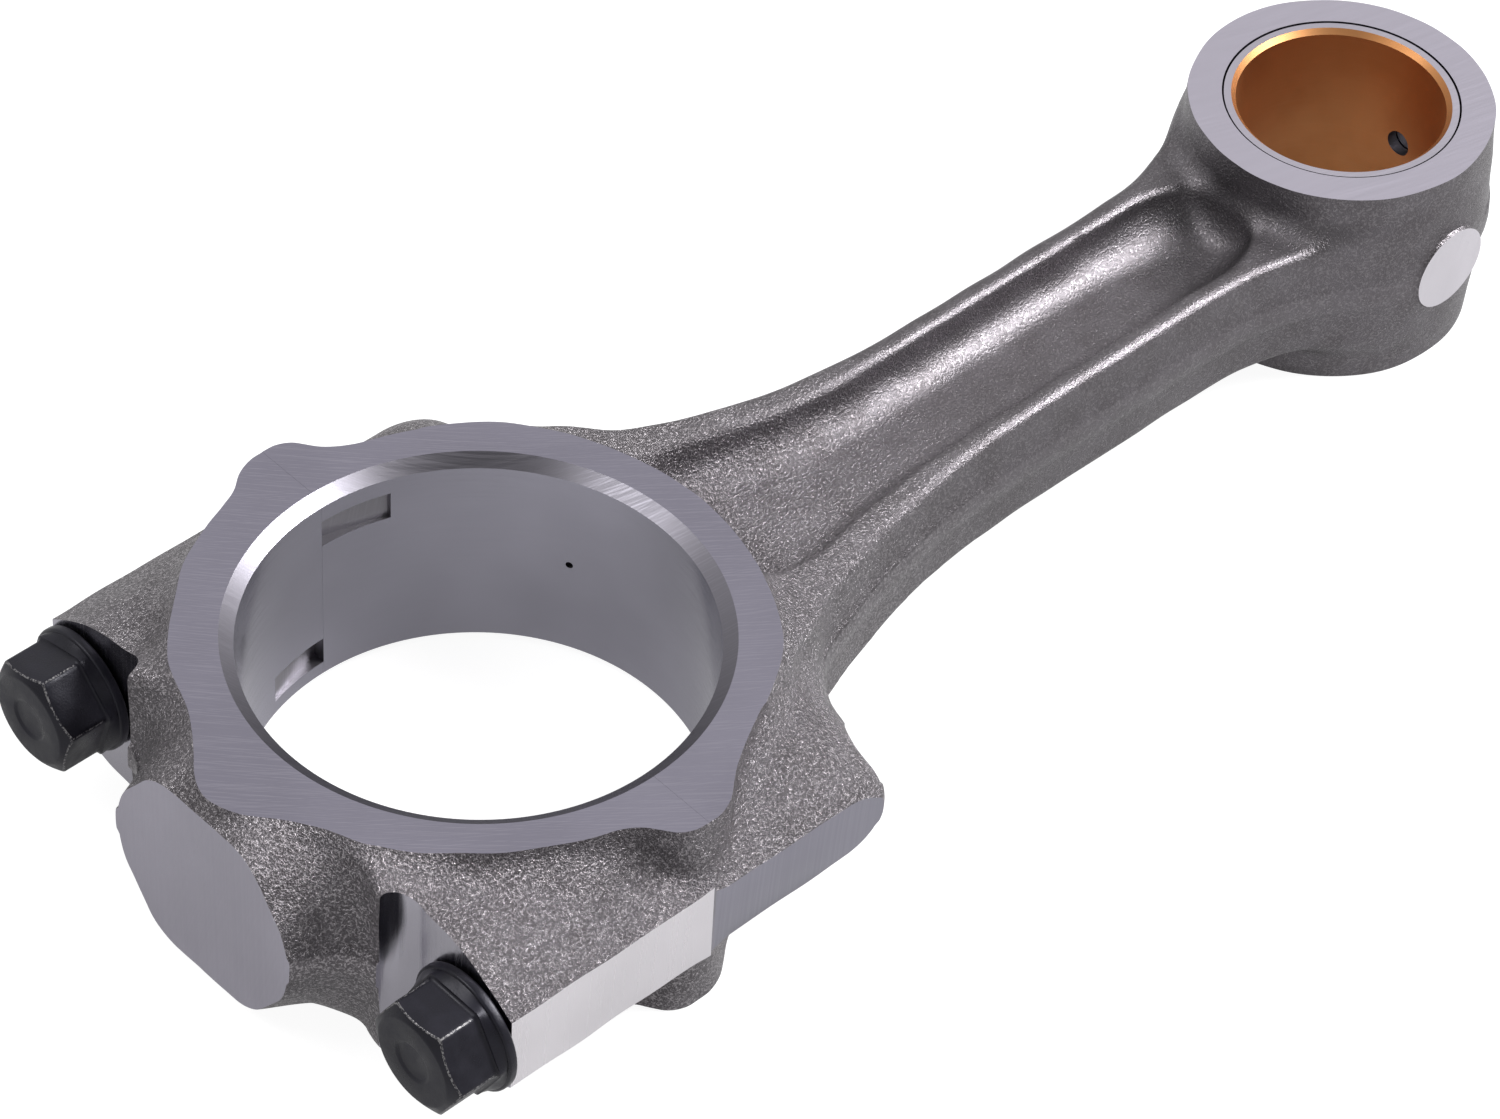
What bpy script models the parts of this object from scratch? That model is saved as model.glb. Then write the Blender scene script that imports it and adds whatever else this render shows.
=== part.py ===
"""Connecting rod with a bolted cap, modelled in Blender 4.5 (metres, +Z up).

The rod lies on its faces. +X runs from the cap to the small end, +Z runs along both bores, and the
origin is the middle of the rod's box, at the bottom. All shapes are worked out around the big-end
centre, at mid-thickness, and an empty carries that frame into place.
"""
from math import cos, pi, radians, sin, tan

import bmesh
import bpy

MM = 0.001

# Driving dimensions
HALF_WIDTH = 14.0 * MM            # both ends are 28 mm wide
CENTRES = 135.0 * MM              # big-end bore to small-end bore
DRAFT = tan(radians(5.0))         # slope of the forged walls
GAP = 0.3 * MM                    # clearance kept between neighbouring pieces
OVERSHOOT = 4.0 * MM              # how far cutters run past the forging

# Big end
CRANK_BORE_R = 26.0 * MM
CRANK_CHAMFER_R = 27.6 * MM
CRANK_CHAMFER_DEPTH = 1.1 * MM
RING_R = 31.6 * MM                # outer radius of the ring's face
LOBE_REACH = 35.8 * MM            # how far the joint lobes stand out along Y
CAP_LOBE_REACH = 36.7 * MM        # how far the cap's end lobe stands out along -X
LOBE_TOP_HALF = 2.6 * MM
LOBE_FOOT_HALF = 7.0 * MM
LOBE_FOOT_R = 30.5 * MM
SIDE_FLAT_Y = 37.6 * MM
BOSS_Y = 38.1 * MM                # forged side of the bolt bosses at the parting line
BOSS_END_X = 27.2 * MM            # shoulder of the rod's bolt bosses
PAD_X = -38.2 * MM                # machined end pad of the cap
SEAT_X = -28.2 * MM               # bolt seats
SEAT_WALL_Y = 20.4 * MM
WEB_EDGE_X = -31.3 * MM           # where the cap's end stands out past the bolt bosses
SEAT_FILLET_R = 3.2 * MM

# Bolts
BOLT_Y = 31.6 * MM
BOLT_SHANK_R = 4.5 * MM
BOLT_TIP_X = 22.0 * MM
BOLT_FLANGE_R = 7.5 * MM
BOLT_FLANGE_RIM = 1.1 * MM
BOLT_HEX_HALF = 6.0 * MM          # half of 12 mm across flats
BOLT_HEAD_X = -36.4 * MM
BOLT_TURN = {"bolt_left": radians(-14.0), "bolt_right": 0.0}
BOLT_HOLE_R = BOLT_SHANK_R + GAP

# Small end
SMALL_BORE_R = 14.2 * MM
SMALL_FACE_R = 18.2 * MM
SMALL_SIDE_R = SMALL_FACE_R + HALF_WIDTH * DRAFT
SMALL_PAD_Y = 19.2 * MM           # little flats on the sides of the small end
BUSH_BORE_R = 12.5 * MM
BUSH_OUTER_R = SMALL_BORE_R - GAP
BUSH_HALF_LENGTH = 13.8 * MM
BUSH_CHAMFER = 0.5 * MM
OIL_HOLE_R = 1.7 * MM

# Small cuts in the big-end bore
TANG_WIDTH = 3.7 * MM
TANG_LENGTH = 7.6 * MM
TANG_DEPTH = 1.5 * MM
TANG_Z = 9.0 * MM
SPIT_HOLE_R = 0.5 * MM
SPIT_HOLE_ANGLE = radians(26.0)

# Shank stations: distance from the big-end centre, half width at the flange's top, half height
SHANK_STATIONS = [
    (18.0, 26.5, 13.4), (24.0, 24.8, 12.8), (30.0, 20.6, 11.4), (35.0, 17.3, 10.0),
    (40.0, 15.4, 9.2), (46.0, 13.7, 8.5), (52.0, 12.4, 8.0), (60.0, 10.9, 7.8),
    (70.0, 10.2, 7.8), (97.0, 10.1, 7.8), (108.0, 10.4, 7.9), (115.0, 11.5, 8.6),
    (120.0, 12.9, 10.4), (126.0, 14.6, 12.6),
]
# Pocket stations: distance from the big-end centre, half width at the flange's top
POCKET_STATIONS = [
    (33.6, 9.0), (36.0, 11.0), (39.0, 11.4), (43.0, 10.5), (49.0, 9.1), (56.0, 8.0),
    (64.0, 7.6), (90.0, 7.5), (110.5, 7.4),
]
POCKET_END_R = 7.4 * MM
WEB_HALF = 2.3 * MM
# Top of the bolt bosses: distance from the centre line, half height
BOSS_TOP = [(16.0, 12.6), (23.0, 11.4), (28.5, 10.2), (33.0, 8.6), (37.2, 5.9)]

RING_SIDES = 64
HOLE_SIDES = 20

STEEL_FORGED = ((0.17, 0.165, 0.16), 0.55, 0.85)
STEEL_BOLT = ((0.03, 0.03, 0.034), 0.45, 0.6)
BRONZE = ((0.42, 0.23, 0.10), 0.35, 0.9)

TIP_X = CENTRES + SMALL_SIDE_R
FRAME_SHIFT = (-(TIP_X + PAD_X) / 2, 0.0, HALF_WIDTH)


def clear_scene():
    for item in list(bpy.data.objects):
        bpy.data.objects.remove(item, do_unlink=True)


def material(name, look):
    """A Principled material from a colour, a roughness and a metallic value."""
    colour, roughness, metallic = look
    made = bpy.data.materials.new(name)
    made.use_nodes = True
    shader = made.node_tree.nodes["Principled BSDF"]
    shader.inputs["Base Color"].default_value = (*colour, 1.0)
    shader.inputs["Roughness"].default_value = roughness
    shader.inputs["Metallic"].default_value = metallic
    return made


def mesh_object(name, points, faces, frame):
    """Put points and faces into a new object under the frame, with its faces turned outwards."""
    mesh = bpy.data.meshes.new(name)
    mesh.from_pydata(points, [], faces)
    shell = bmesh.new()
    shell.from_mesh(mesh)
    bmesh.ops.remove_doubles(shell, verts=shell.verts, dist=0.000001)
    bmesh.ops.recalc_face_normals(shell, faces=shell.faces)
    shell.to_mesh(mesh)
    shell.free()
    made = bpy.data.objects.new(name, mesh)
    bpy.context.scene.collection.objects.link(made)
    made.parent = frame
    return made


def loft(name, rings, frame):
    """Skin a list of closed rings that have the same number of points, and cap both ends."""
    count = len(rings[0])
    points = [point for ring in rings for point in ring]
    faces = [tuple(reversed(range(count)))]
    for step in range(len(rings) - 1):
        for here in range(count):
            there = (here + 1) % count
            low = step * count
            high = low + count
            faces.append((low + here, low + there, high + there, high + here))
    last = (len(rings) - 1) * count
    faces.append(tuple(last + index for index in range(count)))
    return mesh_object(name, points, faces, frame)


def turned(name, profile, centre, axis, sides, frame, turn=0.0):
    """Turn (radius, height) steps into a closed solid round an axis through centre."""
    rings = []
    for radius, height in profile:
        ring = []
        for side in range(sides):
            angle = turn + 2 * pi * side / sides
            across = (radius * cos(angle), radius * sin(angle))
            if axis == "Z":
                local = (across[0], across[1], height)
            else:
                local = (height, across[0], across[1])
            ring.append(tuple(centre[i] + local[i] for i in range(3)))
        rings.append(ring)
    return loft(name, rings, frame)


def outline_solid(name, outline, low, high, frame):
    """Raise a plan outline between two heights."""
    rings = [[(x, y, z) for x, y in outline] for z in (low, high)]
    return loft(name, rings, frame)


def block(name, low, high, frame):
    outline = [(low[0], low[1]), (high[0], low[1]), (high[0], high[1]), (low[0], high[1])]
    return outline_solid(name, outline, low[2], high[2], frame)


def join(target, other, operation):
    """Union, difference or intersection of target with a hidden helper solid."""
    other.hide_render = True
    other.display_type = "WIRE"
    step = target.modifiers.new(f"{operation.lower()} {other.name}", "BOOLEAN")
    step.operation = operation
    step.solver = "EXACT"
    step.object = other


def drafted_disc(name, x, face_r, frame):
    """Forged disc, widest at the parting plane, a little taller than the finished width."""
    top = HALF_WIDTH + 0.5 * MM
    top_r = face_r - 0.5 * MM * DRAFT
    side_r = face_r + HALF_WIDTH * DRAFT
    profile = [(top_r, -top), (side_r, 0.0), (top_r, top)]
    return turned(name, profile, (x, 0.0, 0.0), "Z", RING_SIDES, frame)


def lobe(name, towards, reach, frame):
    """Full-height swelling on the ring's rim: a rounded trapezium that points towards an angle."""
    halves = [(LOBE_FOOT_R, LOBE_FOOT_HALF), (reach - 2.6 * MM, LOBE_TOP_HALF + 1.6 * MM),
              (reach - 0.8 * MM, LOBE_TOP_HALF + 0.6 * MM), (reach, LOBE_TOP_HALF - 0.6 * MM)]
    right = [(out, -half) for out, half in halves]
    left = [(out, half) for out, half in reversed(halves)]
    rings = []
    top = HALF_WIDTH + 0.5 * MM
    for z in (-top, 0.0, top):
        swell = 1 + (HALF_WIDTH - abs(z)) * DRAFT / reach
        ring = []
        for out, half in right + left:
            x = swell * (out * cos(towards) - half * sin(towards))
            y = swell * (out * sin(towards) + half * cos(towards))
            ring.append((x, y, z))
        rings.append(ring)
    return loft(name, rings, frame)


def boss_section(x, side, reach, height):
    """Cross-section of a bolt boss at x: its top falls away towards the machined side."""
    scale = reach / BOSS_Y
    top = [(y * MM * scale, z * MM * height) for y, z in BOSS_TOP]
    edge = [(reach, 3.0 * MM * height), (reach, -3.0 * MM * height)]
    bottom = [(y, -z) for y, z in reversed(top)]
    return [(x, side * y, z) for y, z in top + edge + bottom]


def rod_boss(name, side, frame):
    """Bolt boss of the rod, from the split to its rounded shoulder."""
    corner = 4.5 * MM
    stations = [(-OVERSHOOT, BOSS_Y, 1.0)]
    for step in range(5):
        angle = step * pi / 8
        x = BOSS_END_X - corner + corner * sin(angle)
        stations.append((x, BOSS_Y - corner * (1 - cos(angle)), 1.0 - 0.25 * (1 - cos(angle))))
    rings = [boss_section(x, side, reach, height) for x, reach, height in stations]
    return loft(name, rings, frame)


def shank_ring(x, half, height):
    """Closed beam section: flat top, broken edge, drafted side."""
    edge = 0.8 * MM
    side = half + height * DRAFT
    corner = [(0.0, height), (half - edge, height), (half, height - edge), (side, 0.0)]
    right = corner + [(y, -z) for y, z in reversed(corner[:-1])]
    left = [(-y, z) for y, z in reversed(right[1:-1])]
    return [(x, y, z) for y, z in right + left]


def pocket_ring(side, z, inset):
    """Outline of the shank's pocket at one height, drawn in from its outline at the flange's top."""
    stations = [(x * MM, half * MM - inset) for x, half in POCKET_STATIONS]
    stations[0] = (stations[0][0] + inset, stations[0][1])
    upper = list(stations)
    end_x = POCKET_STATIONS[-1][0] * MM
    end_r = POCKET_END_R - inset
    steps = 8
    for step in range(1, 2 * steps):
        angle = pi / 2 - step * pi / (2 * steps)
        upper.append((end_x + end_r * cos(angle), end_r * sin(angle)))
    lower = [(x, -y) for x, y in reversed(stations)]
    return [(x, y, side * z) for x, y in upper + lower]


def pocket(name, side, frame):
    """Cutter for the hollow in one face of the shank, with a rounded foot and drafted walls."""
    levels = [(WEB_HALF, 2.8 * MM), (WEB_HALF + 0.5 * MM, 1.6 * MM), (WEB_HALF + 1.6 * MM, 0.8 * MM),
              (7.8 * MM, 0.0), (HALF_WIDTH + OVERSHOOT, -0.7 * MM)]
    return loft(name, [pocket_ring(side, z, inset) for z, inset in levels], frame)


def cap_web(name, frame):
    """Forged end of the cap, from the ring out to the end pad."""
    # plan reach and height at a few distances, then the hexagon of the pad itself
    sections = [
        (-20.0, [(27.0, 4.0), (26.0, 10.5), (20.0, 12.6), (7.0, 13.6)]),
        (-28.0, [(24.6, 4.0), (24.0, 10.2), (18.0, 12.2), (6.5, 13.4)]),
        (-31.3, [(20.6, 4.0), (20.0, 9.6), (15.0, 11.6), (6.0, 13.2)]),
        (-34.2, [(17.6, 4.0), (16.6, 8.6), (11.5, 11.6), (5.6, 12.9)]),
        (-39.0, [(13.6, 3.2), (12.6, 5.8), (8.4, 11.0), (5.0, 12.1)]),
    ]
    rings = []
    for x, corner in sections:
        right = [(y, -z) for y, z in reversed(corner)] + corner
        left = [(-y, -z) for y, z in right]
        rings.append([(x * MM, y * MM, z * MM) for y, z in right + left])
    return loft(name, rings, frame)


def seat_cutter(name, side, frame):
    """Milling of one bolt seat: a flat with a rounded inner corner, run through along Z."""
    outline = [(PAD_X - OVERSHOOT, side * SEAT_WALL_Y)]
    centre = (SEAT_X - SEAT_FILLET_R, SEAT_WALL_Y + SEAT_FILLET_R)
    steps = 6
    for step in range(steps + 1):
        angle = step * pi / (2 * steps)
        outline.append((centre[0] + SEAT_FILLET_R * sin(angle),
                        side * (centre[1] - SEAT_FILLET_R * cos(angle))))
    outline.append((SEAT_X, side * (BOSS_Y + OVERSHOOT)))
    outline.append((PAD_X - OVERSHOOT, side * (BOSS_Y + OVERSHOOT)))
    reach = HALF_WIDTH + OVERSHOOT
    return outline_solid(name, outline, -reach, reach, frame)


def crank_bore(name, frame):
    """Big-end bore with a chamfer at each face."""
    past = HALF_WIDTH + OVERSHOOT
    inner = HALF_WIDTH - CRANK_CHAMFER_DEPTH
    profile = [(CRANK_CHAMFER_R, -past), (CRANK_CHAMFER_R, -HALF_WIDTH), (CRANK_BORE_R, -inner),
               (CRANK_BORE_R, inner), (CRANK_CHAMFER_R, HALF_WIDTH), (CRANK_CHAMFER_R, past)]
    return turned(name, profile, (0.0, 0.0, 0.0), "Z", RING_SIDES, frame)


def bolt_hole(name, side, frame):
    profile = [(BOLT_HOLE_R, PAD_X), (BOLT_HOLE_R, BOSS_END_X + OVERSHOOT)]
    return turned(name, profile, (0.0, side * BOLT_Y, 0.0), "X", HOLE_SIDES, frame)


def tang_notch(name, towards, z, frame):
    """Slot in the bore wall for a bearing shell's tang, deepest at the split."""
    low = CRANK_BORE_R - 1.0 * MM
    far = towards * TANG_LENGTH
    outline = [(-towards * MM, low - MM), (far, low - 2.2 * MM), (far, low),
               (towards * 3.0 * MM, CRANK_BORE_R + 0.8 * MM), (0.0, CRANK_BORE_R + TANG_DEPTH),
               (-towards * MM, CRANK_BORE_R + TANG_DEPTH)]
    return outline_solid(name, outline, z - TANG_WIDTH / 2, z + TANG_WIDTH / 2, frame)


def spit_hole(name, frame):
    """Oil jet drilled out of the big-end bore, at mid-thickness."""
    rings = []
    for reach in (CRANK_BORE_R - MM, 50.0 * MM):
        ring = []
        for side in range(8):
            angle = 2 * pi * side / 8
            across = SPIT_HOLE_R * cos(angle)
            x = reach * cos(SPIT_HOLE_ANGLE) - across * sin(SPIT_HOLE_ANGLE)
            y = reach * sin(SPIT_HOLE_ANGLE) + across * cos(SPIT_HOLE_ANGLE)
            ring.append((x, y, SPIT_HOLE_R * sin(angle)))
        rings.append(ring)
    return loft(name, rings, frame)


def small_end_oil_hole(name, frame):
    profile = [(OIL_HOLE_R, CENTRES + 5.0 * MM), (OIL_HOLE_R, TIP_X + OVERSHOOT)]
    return turned(name, profile, (0.0, 0.0, 0.0), "X", HOLE_SIDES, frame)


def keep_between(target, name, low, high, frame):
    join(target, block(name, low, high, frame), "INTERSECT")


def make_rod(frame, steel):
    rod = drafted_disc("rod_body", 0.0, RING_R, frame)
    rings = [shank_ring(x * MM, half * MM, height * MM) for x, half, height in SHANK_STATIONS]
    join(rod, loft("shank_bar", rings, frame), "UNION")
    join(rod, drafted_disc("small_end_disc", CENTRES, SMALL_FACE_R, frame), "UNION")
    for side, word in ((1, "left"), (-1, "right")):
        join(rod, rod_boss(f"rod_boss_{word}", side, frame), "UNION")
        join(rod, lobe(f"rod_lobe_{word}", side * pi / 2, LOBE_REACH, frame), "UNION")
    reach = HALF_WIDTH + OVERSHOOT
    keep_between(rod, "rod_limits", (GAP / 2, -SIDE_FLAT_Y, -HALF_WIDTH),
                 (TIP_X + OVERSHOOT, SIDE_FLAT_Y, HALF_WIDTH), frame)
    for side, word in ((1, "top"), (-1, "bottom")):
        join(rod, pocket(f"pocket_{word}", side, frame), "DIFFERENCE")
    join(rod, crank_bore("rod_crank_bore", frame), "DIFFERENCE")
    small_bore = [(SMALL_BORE_R, -reach), (SMALL_BORE_R, reach)]
    join(rod, turned("small_bore", small_bore, (CENTRES, 0.0, 0.0), "Z", RING_SIDES, frame),
         "DIFFERENCE")
    for side, word in ((1, "left"), (-1, "right")):
        join(rod, bolt_hole(f"rod_bolt_hole_{word}", side, frame), "DIFFERENCE")
        edge = sorted((side * SMALL_PAD_Y, side * (SMALL_PAD_Y + OVERSHOOT)))
        pad = block(f"small_pad_{word}", (CENTRES - 9.0 * MM, edge[0], -reach),
                    (CENTRES + 9.0 * MM, edge[1], reach), frame)
        join(rod, pad, "DIFFERENCE")
    join(rod, tang_notch("rod_tang_notch", 1, TANG_Z, frame), "DIFFERENCE")
    join(rod, spit_hole("spit_hole", frame), "DIFFERENCE")
    join(rod, small_end_oil_hole("small_end_oil_hole", frame), "DIFFERENCE")
    rod.data.materials.append(steel)
    return rod


def make_cap(frame, steel):
    cap = drafted_disc("rod_cap", 0.0, RING_R, frame)
    join(cap, cap_web("cap_web", frame), "UNION")
    join(cap, lobe("cap_end_lobe", pi, CAP_LOBE_REACH, frame), "UNION")
    for side, word in ((1, "left"), (-1, "right")):
        rings = [boss_section(x, side, BOSS_Y, 1.0) for x in (WEB_EDGE_X, OVERSHOOT)]
        join(cap, loft(f"cap_boss_{word}", rings, frame), "UNION")
        join(cap, lobe(f"cap_lobe_{word}", side * pi / 2, LOBE_REACH, frame), "UNION")
    keep_between(cap, "cap_limits", (PAD_X, -SIDE_FLAT_Y, -HALF_WIDTH),
                 (-GAP / 2, SIDE_FLAT_Y, HALF_WIDTH), frame)
    join(cap, crank_bore("cap_crank_bore", frame), "DIFFERENCE")
    for side, word in ((1, "left"), (-1, "right")):
        join(cap, seat_cutter(f"seat_{word}", side, frame), "DIFFERENCE")
        join(cap, bolt_hole(f"cap_bolt_hole_{word}", side, frame), "DIFFERENCE")
    join(cap, tang_notch("cap_tang_notch", -1, -TANG_Z, frame), "DIFFERENCE")
    cap.data.materials.append(steel)
    return cap


def make_bush(frame, bronze):
    """Small-end bush with chamfered ends and an oil hole towards the tip."""
    inner = BUSH_HALF_LENGTH - BUSH_CHAMFER
    low = -BUSH_HALF_LENGTH
    bush = turned("small_end_bush", [(BUSH_OUTER_R, low), (BUSH_OUTER_R, -low)], (0, 0, 0), "Z",
                  RING_SIDES, frame)
    bush.location = (CENTRES, 0.0, 0.0)
    past = BUSH_HALF_LENGTH + OVERSHOOT
    wide = BUSH_BORE_R + BUSH_CHAMFER
    bore = [(wide, -past), (wide, low), (BUSH_BORE_R, -inner), (BUSH_BORE_R, inner), (wide, -low),
            (wide, past)]
    join(bush, turned("bush_bore", bore, (CENTRES, 0.0, 0.0), "Z", RING_SIDES, frame), "DIFFERENCE")
    join(bush, small_end_oil_hole("bush_oil_hole", frame), "DIFFERENCE")
    bush.data.materials.append(bronze)
    return bush


def make_bolt(name, side, frame, black):
    """Hexagon bolt with a round flange, its origin on its axis at the bolt seat."""
    seat = -GAP
    head = BOLT_HEAD_X - SEAT_X
    cone_x = seat - BOLT_FLANGE_RIM - 1.3 * MM
    tip = BOLT_TIP_X - SEAT_X
    neck_r = BOLT_HEX_HALF + 0.2 * MM
    profile = [(neck_r - 0.6 * MM, cone_x - 0.6 * MM), (neck_r, cone_x),
               (BOLT_FLANGE_R, seat - BOLT_FLANGE_RIM), (BOLT_FLANGE_R, seat),
               (BOLT_SHANK_R, seat), (BOLT_SHANK_R, tip - MM), (BOLT_SHANK_R - MM, tip)]
    bolt = turned(name, profile, (0.0, 0.0, 0.0), "X", 36, frame)
    bolt.location = (SEAT_X, side * BOLT_Y, 0.0)
    bolt.rotation_euler = (BOLT_TURN[name], 0.0, 0.0)
    corner_r = BOLT_HEX_HALF / cos(pi / 6)
    hexagon = turned(f"{name}_hexagon", [(corner_r, head), (corner_r, cone_x + 0.4 * MM)],
                     (0.0, 0.0, 0.0), "X", 6, bolt)
    past = corner_r + 0.1 * MM
    dome = turned(f"{name}_dome", [(BOLT_HEX_HALF - 0.3 * MM, head), (past, head + 0.8 * MM),
                                   (past, seat)], (0.0, 0.0, 0.0), "X", 36, bolt)
    join(hexagon, dome, "INTERSECT")
    join(bolt, hexagon, "UNION")
    bolt.data.materials.append(black)
    return bolt


def shade(item):
    """Smooth the round faces and keep the machined edges sharp."""
    item.data.shade_smooth()
    item.data.set_sharp_from_angle(angle=radians(28.0))


def main():
    clear_scene()
    frame = bpy.data.objects.new("big_end_frame", None)
    bpy.context.scene.collection.objects.link(frame)
    frame.location = FRAME_SHIFT
    steel = material("forged_steel", STEEL_FORGED)
    cap_steel = material("cap_steel", STEEL_FORGED)
    pieces = [
        make_rod(frame, steel),
        make_cap(frame, cap_steel),
        make_bush(frame, material("bronze", BRONZE)),
        make_bolt("bolt_left", 1, frame, material("bolt_left_steel", STEEL_BOLT)),
        make_bolt("bolt_right", -1, frame, material("bolt_right_steel", STEEL_BOLT)),
    ]
    for piece in pieces:
        shade(piece)


main()
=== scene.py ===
from math import cos, pi, radians, sin, tan

import bpy
import numpy as np
from mathutils import Matrix, Vector


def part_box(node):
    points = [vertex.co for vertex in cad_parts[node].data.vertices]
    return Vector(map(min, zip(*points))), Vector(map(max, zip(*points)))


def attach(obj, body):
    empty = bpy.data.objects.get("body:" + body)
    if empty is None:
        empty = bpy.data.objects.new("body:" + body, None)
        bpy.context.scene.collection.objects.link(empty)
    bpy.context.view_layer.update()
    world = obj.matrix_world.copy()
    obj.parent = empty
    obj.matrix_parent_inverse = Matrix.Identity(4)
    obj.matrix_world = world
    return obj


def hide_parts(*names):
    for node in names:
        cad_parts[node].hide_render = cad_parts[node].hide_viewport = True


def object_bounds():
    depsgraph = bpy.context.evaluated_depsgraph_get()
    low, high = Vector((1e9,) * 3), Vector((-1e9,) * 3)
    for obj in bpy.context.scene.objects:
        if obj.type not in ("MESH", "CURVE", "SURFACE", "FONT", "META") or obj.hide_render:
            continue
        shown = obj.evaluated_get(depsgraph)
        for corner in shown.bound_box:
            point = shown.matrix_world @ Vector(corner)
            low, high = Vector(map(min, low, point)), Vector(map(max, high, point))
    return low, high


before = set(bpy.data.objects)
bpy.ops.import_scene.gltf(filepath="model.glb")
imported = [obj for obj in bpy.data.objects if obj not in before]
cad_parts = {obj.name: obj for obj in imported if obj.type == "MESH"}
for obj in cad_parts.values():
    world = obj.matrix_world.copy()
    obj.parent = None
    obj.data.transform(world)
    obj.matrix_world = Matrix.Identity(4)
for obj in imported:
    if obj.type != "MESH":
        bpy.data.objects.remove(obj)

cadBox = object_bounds()
mm = 0.001

# Every shape is worked out in mm around the big-end centre, at mid-thickness, and then put in place
splitClearance = 0.15                     # half of the joint's clearance in the CAD, mm
rodLow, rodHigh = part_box("rod_body")
bushLow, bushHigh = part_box("small_end_bush")
bigEnd = np.array([rodLow.x / mm - splitClearance, 0.0, (rodLow.z + rodHigh.z) / 2 / mm])
centres = (bushLow.x + bushHigh.x) / 2 / mm - bigEnd[0]
print("frame: big end at", bigEnd.round(3), "centres", round(centres, 2))

view = {
    "place": (-280.4, -315.8, 448.6),     # mm from the big-end centre
    "right": (0.731, -0.681, 0.043),
    "up": (0.460, 0.539, 0.706),
    "lens": 136.8,                        # mm, as the sensor's width
    "sensor": 36.0,
}


def makeCamera(values):
    # a camera frame has its right, up and back directions as columns
    right = Vector(values["right"]).normalized()
    up = Vector(values["up"])
    up = (up - right * up.dot(right)).normalized()
    back = right.cross(up)
    turn = Matrix((right, up, back)).transposed().to_4x4()
    data = bpy.data.cameras.new("camera")
    data.lens = values["lens"]
    data.sensor_width = values["sensor"]
    data.sensor_fit = "HORIZONTAL"
    data.clip_start = 0.01
    data.clip_end = 20.0
    camera = bpy.data.objects.new("camera", data)
    bpy.context.scene.collection.objects.link(camera)
    place = (np.array(values["place"]) + bigEnd) * mm
    camera.matrix_world = Matrix.Translation(place) @ turn
    bpy.context.scene.camera = camera


makeCamera(view)
print("camera placed")


def newPiece(name, points, faces, finishes=(), faceFinish=None, smooth=True):
    # points in mm around the big end become vertices in metres, in the part's own frame
    mesh = bpy.data.meshes.new(name)
    placed = (np.asarray(points, float) + bigEnd) * mm
    faces = faces.tolist() if isinstance(faces, np.ndarray) else faces
    mesh.from_pydata(placed.tolist(), [], faces)
    for finish in finishes:
        mesh.materials.append(finish)
    if faceFinish is not None:
        mesh.polygons.foreach_set("material_index", np.asarray(faceFinish, np.int32))
    mesh.polygons.foreach_set("use_smooth", np.full(len(faces), smooth))
    mesh.update()
    piece = bpy.data.objects.new(name, mesh)
    bpy.context.scene.collection.objects.link(piece)
    return piece


def gridFaces(rows, columns, closed=False):
    # quads between neighbouring rings; closed joins the last ring to the first one
    here = np.arange(columns)
    there = (here + 1) % columns
    low = (np.arange(rows if closed else rows - 1) * columns)[:, None]
    high = (low + columns) % (rows * columns)
    quads = np.stack([low + here, low + there, high + there, high + here], axis=-1)
    return quads.reshape(-1, 4)


def turnedGrid(along, out, turn, axis, centre):
    # each row is a ring at height along and radius out; out may change with the angle too
    rows, columns = len(along), len(turn)
    out = np.broadcast_to(np.asarray(out, float).reshape(rows, -1), (rows, columns))
    along = np.broadcast_to(np.asarray(along, float).reshape(rows, -1), (rows, columns))
    one = out * np.cos(turn)
    two = out * np.sin(turn)
    parts = {"z": (one, two, along), "x": (along, one, two), "y": (two, along, one)}[axis]
    return np.stack(parts, axis=-1).reshape(-1, 3) + np.asarray(centre, float)


def closedTurn(name, along, out, sides, axis, centre, finishes, rowFinish):
    # a profile of (along, out) steps carried once round an axis, with a flat face at both ends
    turn = np.arange(sides) * 2 * pi / sides
    points = turnedGrid(np.array(along), np.array(out), turn, axis, centre)
    quads = gridFaces(len(along), sides)
    ends = [list(range(sides))[::-1], list(range((len(along) - 1) * sides, len(along) * sides))]
    faces = quads.tolist() + ends
    finish = np.repeat(np.array(rowFinish[:-2]), sides).tolist() + list(rowFinish[-2:])
    if along[-1] < along[0]:
        faces = [f[::-1] for f in faces]
    return newPiece(name, points, faces, finishes, finish)


def outlinePrism(name, outline, low, high, finishes, sideFinish, endFinish):
    # a plan outline, counterclockwise seen from +z, raised between two heights
    count = len(outline)
    flat = np.asarray(outline, float)
    points = np.concatenate([np.c_[flat, np.full(count, low)], np.c_[flat, np.full(count, high)]])
    quads = gridFaces(2, count).tolist()
    faces = quads + [list(range(count))[::-1], list(range(count, 2 * count))]
    finish = list(sideFinish) + [endFinish] * 2
    return newPiece(name, points, faces, finishes, finish, False)


def joined(name, cutters):
    # several cutters that don't touch each other become one
    for item in bpy.context.selected_objects:
        item.select_set(False)
    for item in cutters:
        item.select_set(True)
    bpy.context.view_layer.objects.active = cutters[0]
    bpy.ops.object.join()
    cutters[0].name = name
    return cutters[0]


def machine(piece, cutter, operation):
    # a live cut that leaves the cutter's own finish on the new faces
    step = piece.modifiers.new(cutter.name, "BOOLEAN")
    step.operation = operation
    step.solver = "MANIFOLD"
    step.material_mode = "TRANSFER"
    step.object = cutter


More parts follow.
